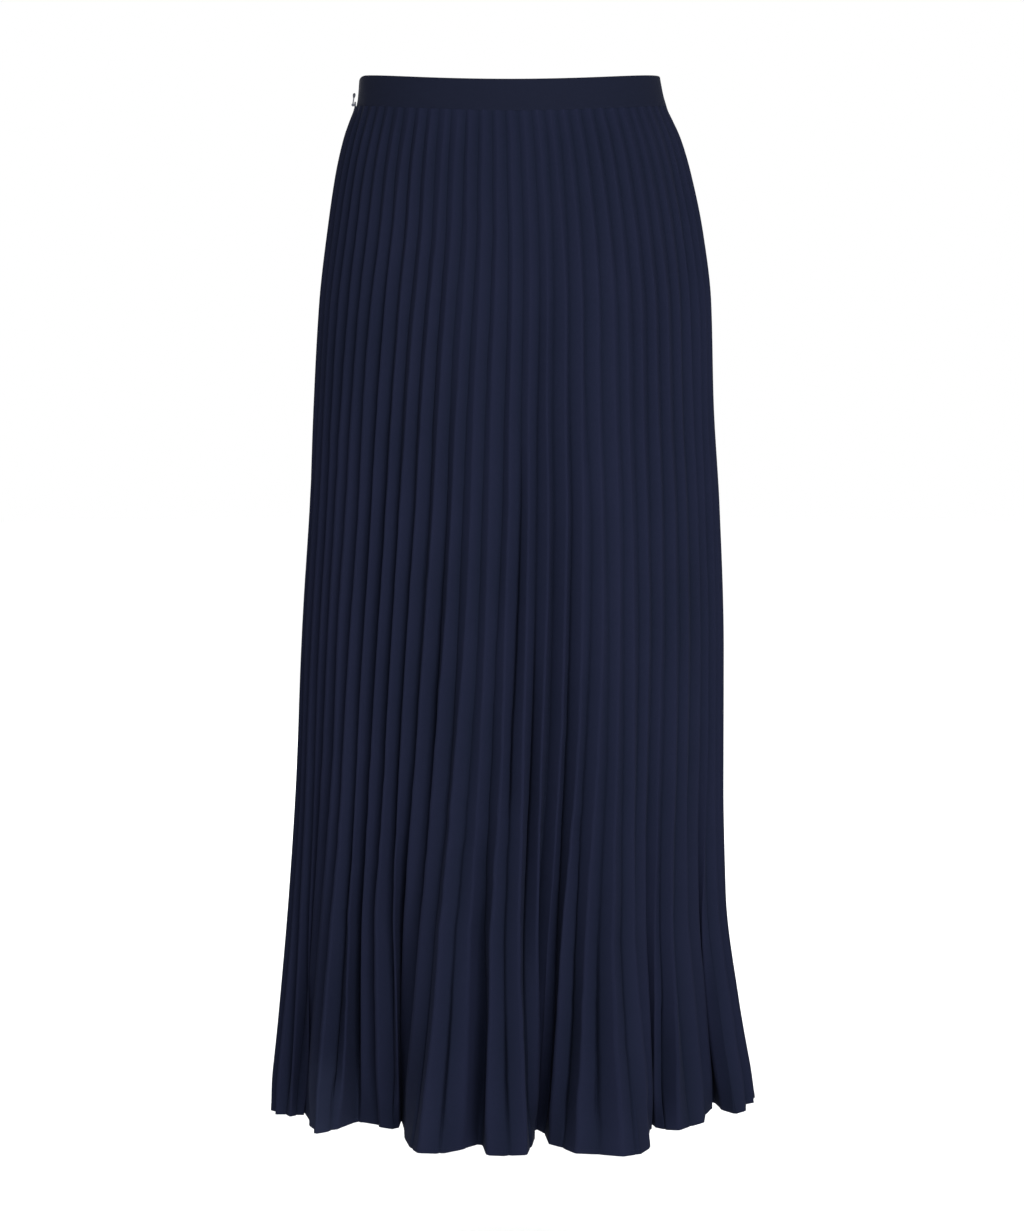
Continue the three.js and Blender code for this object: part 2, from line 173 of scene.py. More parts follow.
def crepeMaterial(name, finish):
    material, shader = newMaterial(name)
    nodes = material.node_tree.nodes
    place = nodes.new("ShaderNodeTexCoord")

    def noise(scale, detail):
        texture = nodes.new("ShaderNodeTexNoise")
        texture.inputs["Scale"].default_value = scale
        texture.inputs["Detail"].default_value = detail
        linkInput(material, place, "Object", texture, "Vector")
        return texture

    ridge = nodes.new("ShaderNodeAttribute")  # 0 in the valleys of the pleats, 1 on their ridges: it paints shade into the valleys and a highlight onto the ridges
    ridge.attribute_name = "ridge"
    patches = noise(finish["patch"], finish["patchDetail"])
    grain = noise(finish["grain"], finish["threadDetail"])
    swaying = ((patches, finish["patchTint"]), (ridge, finish["paintedRidgeShading"]), (grain, finish["grainTint"]))
    middle = 0.5 - sum(share for _, share in swaying) / 2
    tint = None
    for source, share in swaying:
        weigh = nodes.new("ShaderNodeMath")
        weigh.operation = "MULTIPLY_ADD"
        weigh.inputs[1].default_value = share
        weigh.inputs[2].default_value = middle
        linkInput(material, source, "Fac", weigh, 0)
        if tint:
            linkInput(material, tint, "Value", weigh, 2)
        tint = weigh
    # Painted shade and highlight: the ramp darkens the valleys and lightens the ridges, along with random tone from
    # the patches and the grain
    ramp = colourRamp(material, finish["stops"], (finish["deep"], finish["plain"], finish["paleToneAndPaintedSheen"]))
    linkInput(material, tint, "Value", ramp, "Fac")
    # Painted light: patches near the hem are painted paler, standing in for light that comes through the cloth
    paintedBacklight = nodes.new("ShaderNodeAttribute")
    paintedBacklight.attribute_name = "paintedBacklight"
    lighten = nodes.new("ShaderNodeMixRGB")
    lighten.inputs["Color2"].default_value = (*finish["paintedBacklight"], 1)
    linkInput(material, paintedBacklight, "Fac", lighten, "Fac")
    linkInput(material, ramp, "Color", lighten, "Color1")
    linkInput(material, lighten, "Color", shader, "Base Color")

    slub = noise(finish["slub"], finish["threadDetail"])
    fine = nodes.new("ShaderNodeBump")
    fine.inputs["Distance"].default_value = finish["grainHeight"]
    linkInput(material, grain, "Fac", fine, "Height")
    coarse = nodes.new("ShaderNodeBump")
    coarse.inputs["Distance"].default_value = finish["slubHeight"]
    linkInput(material, slub, "Fac", coarse, "Height")
    linkInput(material, fine, "Normal", coarse, "Normal")
    linkInput(material, coarse, "Normal", shader, "Normal")
    shader.inputs["Roughness"].default_value = finish["roughness"]
    shader.inputs["Specular IOR Level"].default_value = finish["specular"]
    shader.inputs["IOR"].default_value = finish["ior"]
    shader.inputs["Sheen Weight"].default_value = finish["sheen"]
    shader.inputs["Sheen Roughness"].default_value = finish["sheenRoughness"]
    shader.inputs["Sheen Tint"].default_value = (*finish["sheenColour"], 1)
    return material


# Small tools for cloth that is worked out as a grid of points, row by row from the waist down
def tableCurve(at, values):
    at = np.array(at, float)
    values = np.array(values, float)
    secants = np.diff(values) / np.diff(at)
    before, after = secants[:-1], secants[1:]
    turning = before * after <= 0
    inner = 2 * before * after / np.where(turning, 1, before + after)
    slopes = np.concatenate([secants[:1], np.where(turning, 0, inner), secants[-1:]])

    def curve(place):
        k = np.clip(np.searchsorted(at, place) - 1, 0, len(at) - 2)
        span = at[k + 1] - at[k]
        t = (place - at[k]) / span
        rise = t * t * (3 - 2 * t)
        bend = slopes[k] * t * (1 - t) ** 2 + slopes[k + 1] * t * t * (t - 1)
        return values[k] * (1 - rise) + values[k + 1] * rise + span * bend

    return curve


def ease(t):
    t = np.clip(t, 0, 1)
    return t * t * (3 - 2 * t)


def softNoise(seed, across, down, acrossStep, downStep):
    # Random heights from -1 to 1 on a loose net, smoothed between its knots
    a, b = np.broadcast_arrays(across / acrossStep, down / downStep)
    i = np.floor(a).astype(int)
    j = np.floor(b).astype(int)
    net = np.random.default_rng(seed).uniform(-1, 1, (i.max() + 2, j.max() + 2))
    s = ease(a - i)
    t = ease(b - j)
    near = net[i, j] * (1 - s) + net[i + 1, j] * s
    far = net[i, j + 1] * (1 - s) + net[i + 1, j + 1] * s
    return near * (1 - t) + far * t


def meshPiece(name, points, faces, material, normals=None):
    mesh = bpy.data.meshes.new(name)
    mesh.from_pydata(points.reshape(-1, 3).tolist(), [], faces.tolist())
    mesh.shade_smooth()
    if normals is not None:
        mesh.normals_split_custom_set_from_vertices(normals.reshape(-1, 3).tolist())
    mesh.materials.append(material)
    piece = bpy.data.objects.new(name, mesh)
    scene.collection.objects.link(piece)
    return piece


def wallQuads(rows, columns, mirrored):
    outer, inner = np.arange(2 * rows * columns).reshape(2, rows, columns)

    def strip(a, b, c, d):
        return np.stack([a, b, c, d], -1).reshape(-1, 4)

    faces = np.concatenate([
        strip(outer[:-1, :-1], outer[1:, :-1], outer[1:, 1:], outer[:-1, 1:]),
        strip(inner[:-1, :-1], inner[:-1, 1:], inner[1:, 1:], inner[1:, :-1]),
        strip(inner[:-1, 0], inner[1:, 0], outer[1:, 0], outer[:-1, 0]),
        strip(outer[:-1, -1], outer[1:, -1], inner[1:, -1], inner[:-1, -1]),
        strip(outer[0, :-1], outer[0, 1:], inner[0, 1:], inner[0, :-1]),
        strip(outer[-1, :-1], inner[-1, :-1], inner[-1, 1:], outer[-1, 1:]),
    ])
    return faces[:, ::-1] if mirrored else faces


def gridNormals(points, side, fromLeft=None, fromRight=None):
    # Each point takes the facing of the quads to its left and right, in the given shares
    columns = points.shape[1]
    fromLeft = np.ones(columns) if fromLeft is None else fromLeft
    fromRight = np.ones(columns) if fromRight is None else fromRight
    falling = points[1:, 1:] - points[:-1, :-1]
    rising = points[1:, :-1] - points[:-1, 1:]
    facing = np.cross(falling, rising) * side
    facing /= np.linalg.norm(facing, axis=-1, keepdims=True)
    total = np.zeros_like(points)
    for down in (slice(None, -1), slice(1, None)):
        total[down, :-1] += facing * fromRight[:-1, None]
        total[down, 1:] += facing * fromLeft[1:, None]
    return total / np.linalg.norm(total, axis=-1, keepdims=True)


# The body of the skirt, as the solids have it: half widths and depths at each drop below the waistband
bodyForm = {
    "drop": [0, 0.030, 0.060, 0.110, 0.170, 0.260, 0.350, 0.480, 0.600, 0.700, 0.800, 0.897],
    "left": [0.1365, 0.146, 0.1525, 0.1595, 0.166, 0.171, 0.175, 0.182, 0.187, 0.1935, 0.203, 0.214],
    "right": [0.136, 0.149, 0.1575, 0.1675, 0.1745, 0.177, 0.182, 0.186, 0.186, 0.189, 0.203, 0.222],
    "back": [0.0974, 0.102, 0.107, 0.114, 0.121, 0.127, 0.131, 0.134, 0.136, 0.138, 0.140, 0.142],
    "front": [0.0974, 0.100, 0.102, 0.105, 0.108, 0.112, 0.116, 0.121, 0.126, 0.130, 0.133, 0.136],
}
waist = {
    "bandHeight": 0.027,
    "bandWall": 0.002,
    "seam": 0.0003,
    "tuck": 0.0011,  # the panels run up into the band
    "dip": 0.0085,  # the middle of the waist lies lower than its sides
    "zipDip": 0.005,
    "zipDipReach": 0.030,
    "split": 0.00012,  # the ends of the band meet over the zip
}

# Pleats: their number, the widths of their faces, the rows down them and the turned-up hem
pleats = {
    "faces": 66,  # two to a pleat
    "length": 0.897,
    "rows": 176,
    "rowEasing": 0.3,
    "stations": (0, 0.10, 0.24, 0.86),  # places from a valley to its ridge that get a column of points
    "faceTop": 0.0064,
    "faceHem": 0.022,
    "depthLeast": 0.002,
    "wall": 0.0008,
    "foldStart": 0.300,  # the hem's folds grow from here down
    "foldGrowth": 3.2,
    "leanFrom": 0.15,  # the creases lean in full from here down
    "driftFrom": 0.10,
    "driftReach": 0.60,
    "waverFrom": 0.05,
    "bowFrom": 0.06,
    "stillSides": 3,  # creases from a side seam over which the folds and grooves fade away
    "usualFace": 0.0075,
    "hemTurn": 0.0065,
    "hemWall": 0.0011,
    "hemEdge": 0.45,  # share of the wall that is left at the very edge
    "hemEdgeReach": 0.0002,
    "hemStep": 0.0012,
    "hemRows": (1.08, 1, 0.6, 0.2, 0.07, 0),  # rows of points in the hem, as shares of its turn
    "ringPoints": 721,
    "hemPoints": 40,
}
# Each kind of unevenness: its size in creases or metres, or as a share of what it sways, and how many creases
# across and metres down it takes to change
unevenness = {
    "lean": {"size": 0.2, "across": 2.6, "down": 0.19},
    "wander": {"size": 0.10, "across": 1.7, "down": 0.11},
    "waver": {"size": 0.00042, "across": 1.6, "down": 0.013},
    "slowWaver": {"size": 0.6, "across": 2.3, "down": 0.031},
    "calm": {"size": 0.45, "across": 9, "down": 0.16},
    "depth": {"size": 0.22, "across": 1.3, "down": 0.21},
    "bow": {"size": 0.00035, "across": 0.9, "down": 0.09},
    "groove": {"size": 0.7, "across": 1.2, "down": 0.13},
    "mottle": {"size": 0.25, "across": 1.6, "down": 0.02},
}
# How soon the long folds, the slits and the patches of painted light through the cloth come and go: shares of their
# length, or metres
comeAndGo = {
    "foldRise": 0.5,
    "foldFall": 0.4,
    "slitRise": 0.6,
    "slitFall": 0.045,
    "slitEnd": 0.03,
    "paintedBacklightRise": 0.06,
}
pleatDepth = {
    "drop": [0, 0.012, 0.040, 0.200, 0.380, 0.600, 0.780, 0.860, 0.897],
    "most": [0.0012, 0.0026, 0.0042, 0.0060, 0.0080, 0.0098, 0.0106, 0.0096, 0.0054],
    "groove": [0, 0.0003, 0.0006, 0.0009, 0.0014, 0.0022, 0.0034, 0.0030, 0.0006],  # the valley creases cut in more
    "crest": 0.25,  # the ridge creases stand out by this share of it
}

# Where the creases of each panel meet the hem, from the left seam to the right one: to the right, outward, and
# the share of the full pleat depth. Then how many creases they lean and drift sideways, long soft folds (a trough
# is negative), slits where a valley closes up, quiet places of the pleats, and patches where light coming through
# is painted as a paler tint.
backCloth = {
    "seed": 11,
    "crease": [0, 4, 7, 9, 11, 13, 16, 19, 21, 26, 28, 30, 32, 34, 38, 41, 43, 46, 50, 52, 54, 56, 58, 60,
               62, 64, 66],
    "x": [-0.214, -0.211, -0.193, -0.186, -0.178, -0.168, -0.134, -0.104, -0.098, -0.084, -0.060, -0.030,
          -0.014, 0.012, 0.023, 0.038, 0.060, 0.112, 0.125, 0.137, 0.162, 0.176, 0.184, 0.202, 0.216, 0.222,
          0.221],
    "out": [0, 0.034, 0.042, 0.030, 0.072, 0.098, 0.062, 0.085, 0.056, 0.150, 0.160, 0.133, 0.166, 0.160,
            0.084, 0.134, 0.158, 0.161, 0.071, 0.088, 0.076, 0.040, 0.001, 0.038, 0.006, -0.008, -0.030],
    "pleat": [0.8, 1, 1, 0.8, 0.8, 1, 1, 0.5, 0.3, 0.7, 1, 1, 1, 1, 0.5, 1, 1, 1, 0.6, 1, 1, 1, 0.8, 1, 0.8,
              0.8, 0.8],
    "leaning": {"crease": [0, 8, 16, 25, 34, 38, 44, 54, 66],
                "shift": [0, -0.10, -0.20, -0.16, -0.06, 0.14, 0.14, 0.06, 0]},
    "drift": {"crease": [0, 8, 16, 24, 34, 44, 66], "shift": [0, -0.9, -2.3, -3.3, -1.2, -0.2, 0]},
    "folds": [
        {"crease": 37.2, "width": 1.6, "start": 0.30, "end": 0.84, "depth": -0.0012},
        {"crease": 43.0, "width": 3.6, "start": 0.12, "end": 0.80, "depth": 0.0050},
        {"crease": 30.0, "width": 2.6, "start": 0.28, "end": 0.80, "depth": 0.0032},
        {"crease": 24.0, "width": 1.4, "start": 0.34, "end": 0.80, "depth": -0.0026},
        {"crease": 50.5, "width": 1.6, "start": 0.24, "end": 0.76, "depth": -0.0026},
    ],
    "slits": [
        {"crease": 36, "width": 0.22, "start": 0.38, "end": 0.885, "depth": -0.0160},
        {"crease": 38, "width": 0.20, "start": 0.58, "end": 0.880, "depth": -0.0090},
        {"crease": 40, "width": 0.18, "start": 0.20, "end": 0.860, "depth": -0.0040},
        {"crease": 34, "width": 0.18, "start": 0.26, "end": 0.600, "depth": -0.0065},
        {"crease": 24, "width": 0.34, "start": 0.60, "end": 0.894, "depth": -0.0200},
        {"crease": 22, "width": 0.26, "start": 0.52, "end": 0.872, "depth": -0.0130},
        {"crease": 20, "width": 0.24, "start": 0.58, "end": 0.858, "depth": -0.0090},
        {"crease": 18, "width": 0.20, "start": 0.56, "end": 0.848, "depth": -0.0070},
        {"crease": 16, "width": 0.20, "start": 0.66, "end": 0.862, "depth": -0.0060},
        {"crease": 26, "width": 0.20, "start": 0.26, "end": 0.700, "depth": -0.0050},
        {"crease": 28, "width": 0.16, "start": 0.74, "end": 0.872, "depth": -0.0035},
        {"crease": 30, "width": 0.18, "start": 0.72, "end": 0.880, "depth": -0.0045},
        {"crease": 32, "width": 0.20, "start": 0.60, "end": 0.876, "depth": -0.0045},
        {"crease": 34, "width": 0.16, "start": 0.76, "end": 0.870, "depth": -0.0035},
        {"crease": 42, "width": 0.18, "start": 0.66, "end": 0.882, "depth": -0.0060},
        {"crease": 44, "width": 0.18, "start": 0.70, "end": 0.876, "depth": -0.0045},
        {"crease": 48, "width": 0.34, "start": 0.72, "end": 0.890, "depth": -0.0160},
        {"crease": 52, "width": 0.22, "start": 0.76, "end": 0.885, "depth": -0.0080},
        {"crease": 10, "width": 0.30, "start": 0.72, "end": 0.885, "depth": -0.0090},
        {"crease": 56, "width": 0.24, "start": 0.80, "end": 0.890, "depth": -0.0080},
    ],
    "quiet": [
        {"crease": 9.0, "width": 9.0, "drop": 0.50, "reach": 0.30, "keep": 1.40},
        {"crease": 30.0, "width": 16.0, "drop": 0.05, "reach": 0.17, "keep": 0.46},
        {"crease": 44.5, "width": 4.6, "drop": 0.30, "reach": 0.26, "keep": 0.40},
        {"crease": 29.0, "width": 5.0, "drop": 0.36, "reach": 0.26, "keep": 0.50},
        {"crease": 54.5, "width": 8.0, "drop": 0.47, "reach": 0.30, "keep": 0.36},
        {"crease": 55.0, "width": 5.0, "drop": 0.02, "reach": 0.085, "keep": 0.22},
        {"crease": 23.5, "width": 2.0, "drop": 0.91, "reach": 0.04, "keep": 0.60},
        {"crease": 44.8, "width": 2.0, "drop": 0.91, "reach": 0.04, "keep": 0.60},
        {"crease": 15.0, "width": 2.4, "drop": 0.91, "reach": 0.06, "keep": 0.40},
    ],
    # Patches near the hem painted paler, as painted light coming through the cloth
    "paintedBacklight": [
        {"crease": 14.5, "width": 2.6, "top": 0.812, "share": 0.85},
        {"crease": 7.0, "width": 2.2, "top": 0.830, "share": 0.20},
        {"crease": 27.0, "width": 2.4, "top": 0.825, "share": 0.30},
        {"crease": 40.0, "width": 4.0, "top": 0.840, "share": 0.20},
        {"crease": 57.0, "width": 3.0, "top": 0.830, "share": 0.20},
    ],
}
frontCloth = {
    "seed": 29,
    "crease": [0, 4, 8, 10, 15, 18, 21, 25, 28, 31, 35, 39, 42, 46, 49, 52, 55, 58, 60, 63, 66],
    "x": [-0.214, -0.208, -0.180, -0.166, -0.138, -0.104, -0.086, -0.070, -0.034, -0.014, 0.006, 0.052,
          0.066, 0.088, 0.122, 0.138, 0.160, 0.184, 0.190, 0.212, 0.221],
    "out": [0, 0.038, 0.066, 0.050, 0.112, 0.122, 0.084, 0.140, 0.152, 0.108, 0.150, 0.146, 0.098, 0.136,
            0.126, 0.082, 0.096, 0.072, 0.046, 0.050, 0.030],
    "pleat": [0.8, 1, 1, 0.8, 1, 1, 0.7, 1, 1, 0.7, 1, 1, 0.7, 1, 1, 0.7, 1, 1, 0.7, 1, 0.8],
    "leaning": {"crease": [0, 14, 24, 38, 50, 66], "shift": [0, 0.12, 0.28, 0.24, 0, 0]},
    "drift": {"crease": [0, 14, 26, 40, 52, 66], "shift": [0, 0.6, 1.2, 2.0, 1.1, 0]},
    "folds": [
        {"crease": 20.6, "width": 1.4, "start": 0.30, "end": 0.80, "depth": -0.0042},
        {"crease": 26.0, "width": 2.8, "start": 0.16, "end": 0.74, "depth": 0.0034},
        {"crease": 31.0, "width": 1.1, "start": 0.24, "end": 0.70, "depth": -0.0034},
        {"crease": 37.0, "width": 2.4, "start": 0.30, "end": 0.76, "depth": 0.0030},
        {"crease": 42.4, "width": 1.2, "start": 0.20, "end": 0.66, "depth": -0.0028},
        {"crease": 52.2, "width": 1.5, "start": 0.34, "end": 0.82, "depth": -0.0030},
    ],
    "slits": [
        {"crease": 20, "width": 0.38, "start": 0.44, "end": 0.880, "depth": -0.0180},
        {"crease": 30, "width": 0.30, "start": 0.30, "end": 0.860, "depth": -0.0110},
        {"crease": 42, "width": 0.36, "start": 0.52, "end": 0.885, "depth": -0.0160},
        {"crease": 50, "width": 0.26, "start": 0.66, "end": 0.890, "depth": -0.0100},
        {"crease": 10, "width": 0.24, "start": 0.70, "end": 0.880, "depth": -0.0080},
        {"crease": 24, "width": 0.20, "start": 0.68, "end": 0.885, "depth": -0.0070},
        {"crease": 34, "width": 0.20, "start": 0.72, "end": 0.885, "depth": -0.0070},
        {"crease": 46, "width": 0.20, "start": 0.74, "end": 0.885, "depth": -0.0060},
    ],
    "quiet": [
        {"crease": 26.5, "width": 3.2, "drop": 0.27, "reach": 0.13, "keep": 0.5},
        {"crease": 12.0, "width": 4.5, "drop": 0.03, "reach": 0.08, "keep": 0.35},
        {"crease": 47.5, "width": 2.4, "drop": 0.88, "reach": 0.07, "keep": 0.55},
    ],
    # Patches near the hem painted paler, as painted light coming through the cloth
    "paintedBacklight": [
        {"crease": 12.0, "width": 3.0, "top": 0.815, "share": 0.60},
        {"crease": 29.0, "width": 2.6, "top": 0.830, "share": 0.45},
        {"crease": 45.0, "width": 3.4, "top": 0.820, "share": 0.50},
        {"crease": 60.0, "width": 2.4, "top": 0.835, "share": 0.35},
    ],
}
formAt = {key: tableCurve(bodyForm["drop"], bodyForm[key]) for key in ("left", "right", "back", "front")}
depthAt = tableCurve(pleatDepth["drop"], pleatDepth["most"])


def halfRing(left, right, depth, creases):
    # Places on a half ring from the left seam to the right one, by the length walked along it
    angle = np.linspace(0, math.pi, pleats["ringPoints"])
    x = -np.where(angle < math.pi / 2, left, right) * np.cos(angle)
    y = depth * np.sin(angle)
    walked = np.concatenate([[0], np.cumsum(np.hypot(np.diff(x), np.diff(y)))])
    goal = creases / pleats["faces"] * walked[-1]
    return np.stack([np.interp(goal, walked, x), np.interp(goal, walked, y)], -1)


def hemLine(cloth):
    # Smooth curve through the hem's places, as a function of the crease, which is carried along with them in
    # thousandths, too small to sway the curve
    thousandths = 1000
    crease = np.array(cloth["crease"], float)
    knots = np.stack([cloth["x"], cloth["out"], crease / thousandths], -1)
    line = np.vstack([2 * knots[0] - knots[1], knots, 2 * knots[-1] - knots[-2]])
    gap = np.sqrt(np.linalg.norm(np.diff(line, axis=0), axis=1))[:, None]
    slope = np.diff(line, axis=0) / gap
    across = (line[2:] - line[:-2]) / (gap[:-1] + gap[1:])
    tangent = slope[:-1] - across + slope[1:]
    places = []
    for k in range(len(knots) - 1):
        t = np.linspace(0, 1, pleats["hemPoints"], endpoint=k == len(knots) - 2)[:, None]
        rise = t * t * (3 - 2 * t)
        reach = gap[k + 1]
        bend = reach * (tangent[k] * t * (1 - t) ** 2 + tangent[k + 1] * t * t * (t - 1))
        places.append(knots[k] * (1 - rise) + knots[k + 1] * rise + bend)
    places = np.vstack(places)

    def at(creases):
        along = np.clip(creases, 0, pleats["faces"])
        walked = places[:, 2] * thousandths
        return np.stack([np.interp(along, walked, places[:, 0]), np.interp(along, walked, places[:, 1])], -1)

    return at


def rowDrops():
    share = np.linspace(0, 1, pleats["rows"])
    body = (pleats["length"] - pleats["hemTurn"] - pleats["hemStep"]) * (
        share - pleats["rowEasing"] * np.sin(2 * np.pi * share) / (2 * np.pi))
    turn = pleats["length"] - pleats["hemTurn"] * np.array(pleats["hemRows"])
    return np.concatenate([body, turn])


def creaseColumns():
    rising = np.array(pleats["stations"])
    falling = np.append(0, 1 - rising[:0:-1])
    creases = np.concatenate([k + (falling if k % 2 else rising) for k in range(pleats["faces"])])
    creases = np.append(creases, pleats["faces"])
    share = creases % 1
    zigzag = np.where((creases // 1) % 2 == 0, 2 * share - 1, 1 - 2 * share)
    return creases, zigzag


def longFolds(cloth, places, down):
    relief = np.zeros(places.shape)
    for fold in cloth["folds"]:
        reach = fold["end"] - fold["start"]
        fallReach = comeAndGo["foldFall"] * reach
        rise = ease((down - fold["start"]) / (comeAndGo["foldRise"] * reach))
        fall = 1 - ease((down - fold["end"] + fallReach) / fallReach)
        relief += fold["depth"] * rise * fall * np.exp(-((places - fold["crease"]) / fold["width"]) ** 2)
    return relief


def slitDepths(cloth, creases, down):
    # How far each closed-up valley runs in towards the middle of the skirt
    depths = np.zeros((len(down), len(creases)))
    for slit in cloth["slits"]:
        rise = ease((down - slit["start"]) / (comeAndGo["slitRise"] * (slit["end"] - slit["start"])))
        fall = 1 - ease((down - slit["end"] + comeAndGo["slitEnd"]) / comeAndGo["slitFall"])
        depths += slit["depth"] * rise * fall * np.exp(-((creases - slit["crease"]) / slit["width"]) ** 2)
    return depths


def quietShare(cloth, places, down):
    share = np.ones(places.shape)
    for zone in cloth["quiet"]:
        near = ((down - zone["drop"]) / zone["reach"]) ** 2 + ((places - zone["crease"]) / zone["width"]) ** 2
        share *= 1 - (1 - zone["keep"]) * np.exp(-near)
    return share


def unevenBy(kind, seed, creases, down):
    given = unevenness[kind]
    return given["size"] * softNoise(seed, creases, down, given["across"], given["down"])


# Share of painted light coming through the cloth near the hem, at each point
def paintedBacklightShare(cloth, creases, down):
    share = np.zeros((len(down), len(creases)))
    for patch in cloth["paintedBacklight"]:
        share += patch["share"] * ease((down - patch["top"]) / comeAndGo["paintedBacklightRise"]) * np.exp(
            -((creases - patch["crease"]) / patch["width"]) ** 2)
    mottle = unevenBy("mottle", cloth["seed"] + 8, creases, down)
    return share * (1 - unevenness["mottle"]["size"] + mottle)


def pleatedGrid(cloth, side):
    # The middle surface of one panel: the back one on the side of -Y, the front one on the side of +Y
    drops = rowDrops()
    creases, zigzag = creaseColumns()
    last = pleats["faces"]
    down = drops[:, None]
    seed = cloth["seed"]
    whole = np.arange(last + 1.0)
    atEnds = np.minimum(np.minimum(whole, last - whole) / 2, 1)
    ridgeWay = np.where(whole % 2 == 0, -1, 1)
    leaning = np.interp(whole, cloth["leaning"]["crease"], cloth["leaning"]["shift"])
    leaning = leaning * ease(down / pleats["leanFrom"])
    lean = (leaning + unevenBy("lean", seed, whole, down)) * ridgeWay
    wander = unevenBy("wander", seed + 1, whole, down)
    rough = 1 - unevenness["calm"]["size"] + unevenBy("calm", seed + 2, whole, down)
    quick = unevenBy("waver", seed + 3, whole, down)
    slow = unevenness["waver"]["size"] * unevenBy("slowWaver", seed + 4, whole, down)
    waver = rough * (quick + slow) / pleats["usualFace"]
    drifted = np.clip((down - pleats["driftFrom"]) / pleats["driftReach"], 0, 1)
    drift = np.interp(whole, cloth["drift"]["crease"], cloth["drift"]["shift"]) * drifted
    shift = (lean + wander + waver * ease(down / pleats["waverFrom"])) * atEnds + drift
    uneven = 1 + unevenBy("depth", seed + 5, whole, down)
    k = np.minimum(creases.astype(int), last - 1)
    share = creases - k
    places = creases + shift[:, k] * (1 - share) + shift[:, k + 1] * share
    unevenHere = uneven[:, k] * (1 - share) + uneven[:, k + 1] * share

    hem = hemLine(cloth)
    depthName = "back" if side < 0 else "front"
    hemRingSizes = [formAt[key](pleats["length"]) for key in ("left", "right", depthName)]
    pleatShare = tableCurve(cloth["crease"], cloth["pleat"])
    relief = longFolds(cloth, places, down)
    slits = slitDepths(cloth, creases, down)
    quiet = quietShare(cloth, places, down)
    deepest = tableCurve(pleatDepth["drop"], pleatDepth["groove"])(down)
    sharp = np.where(creases % 2 == 0, -1, np.where(creases % 2 == 1, pleatDepth["crest"], 0))
    sharp = sharp * deepest * np.minimum(quiet, 1) ** 2
    relief = relief + sharp * (1 + unevenBy("groove", seed + 7, creases, down))
    bow = unevenBy("bow", seed + 6, creases, down) * ease(down / pleats["bowFrom"])
    fromSides = np.minimum(1, np.minimum(creases, last - creases) / pleats["stillSides"])
    grid = np.zeros((len(drops), len(creases), 3))
    for row, drop in enumerate(drops):
        sizes = [formAt[key](drop) for key in ("left", "right", depthName)]
        growth = max((drop - pleats["foldStart"]) / (pleats["length"] - pleats["foldStart"]), 0)
        growth = growth ** pleats["foldGrowth"]

        def baseAt(along):
            along = np.clip(along, 0, last)
            return halfRing(*sizes, along) + growth * (hem(along) - halfRing(*hemRingSizes, along))

        here = places[row]
        base = baseAt(here)
        step = baseAt(here + 1) - baseAt(here - 1)
        walked = np.clip(here + 1, 0, last) - np.clip(here - 1, 0, last)
        width = np.linalg.norm(step, axis=-1)
        faceWidth = pleats["faceTop"] + (pleats["faceHem"] - pleats["faceTop"]) * drop / pleats["length"]
        slack = np.sqrt(np.maximum(faceWidth ** 2 - (width / walked) ** 2, pleats["depthLeast"] ** 2))
        depth = np.minimum(slack, depthAt(drop)) * (1 + growth * (pleatShare(np.clip(here, 0, last)) - 1))
        depth *= unevenHere[row] * quiet[row]
        outward = np.stack([-step[:, 1], step[:, 0]], -1) / width[:, None]
        outward[0] = (-1, 0)
        outward[-1] = (1, 0)
        lift = zigzag * depth / 2 + (relief[row] + bow[row]) * fromSides
        ring = halfRing(*sizes, np.clip(here, 0, last))
        ringY = ring[:, 1] / sizes[2]
        away = np.stack([ring[:, 0] / sizes[0] ** 2, ringY / sizes[2]], -1)
        away /= np.linalg.norm(away, axis=-1, keepdims=True)
        flat = base + outward * lift[:, None] + away * slits[row][:, None]
        fade = 1 - drop / pleats["length"]
        grid[row, :, 0] = flat[:, 0]
        grid[row, :, 1] = flat[:, 1] * side
        grid[row, :, 2] = -waist["bandHeight"] / 2 - waist["seam"] - drop - waist["dip"] * fade * ringY ** 2
    grid[0, :, 2] += waist["tuck"]
    return grid, drops, creases, zigzag


